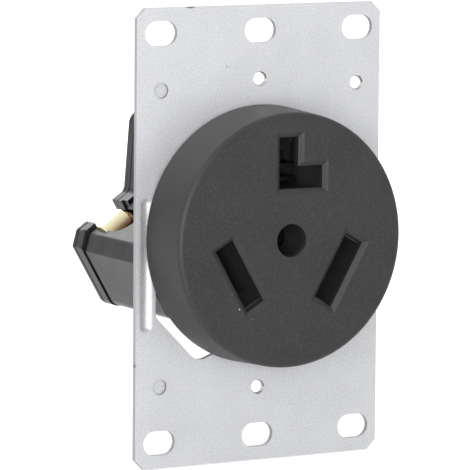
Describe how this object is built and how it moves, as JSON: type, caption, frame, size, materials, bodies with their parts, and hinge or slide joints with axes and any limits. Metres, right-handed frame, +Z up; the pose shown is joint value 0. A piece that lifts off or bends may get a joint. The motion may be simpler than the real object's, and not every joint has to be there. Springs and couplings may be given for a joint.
{
  "type": "three prong dryer outlet",
  "caption": "Flush-mounted three prong dryer outlet: round dark face with an L-shaped slot and slanted straight slots, on a galvanised strap with a black rear housing.",
  "frame": {"origin": "on the face's axis, in the front plane of the mounting strap, at the centre of the box screw slots", "axes": "+X right and +Z up as seen from the front; the face looks along -Y and the rear housing points along +Y"},
  "size_m": [0.0572, 0.0429, 0.0936],
  "materials": {
    "galvanised_steel": "satin",
    "face_plastic": "matte",
    "housing_plastic": "semi-gloss",
    "contact_brass": "satin",
    "spring_steel": "satin",
    "terminal_brass": "satin",
    "clamp_steel": "satin",
    "screw_steel": "satin"
  },
  "bodies": {
    "root": {"mounting_strap": "galvanised_steel", "face_body": "face_plastic", "rear_body": "housing_plastic", "rear_cover": "housing_plastic", "neutral_contact": "contact_brass", "line_contact_left": "contact_brass", "line_contact_right": "contact_brass", "neutral_spring": "spring_steel", "line_spring_left": "spring_steel", "line_spring_right": "spring_steel", "neutral_terminal": "terminal_brass", "line_terminal_left": "terminal_brass", "line_terminal_right": "terminal_brass", "neutral_clamp": "clamp_steel", "line_clamp_left": "clamp_steel", "line_clamp_right": "clamp_steel", "neutral_screw": "screw_steel", "line_screw_left": "screw_steel", "line_screw_right": "screw_steel", "centre_screw": "screw_steel", "centre_washer": "screw_steel", "centre_nut": "screw_steel", "cover_screws": "screw_steel"}
  },
  "joints": []
}
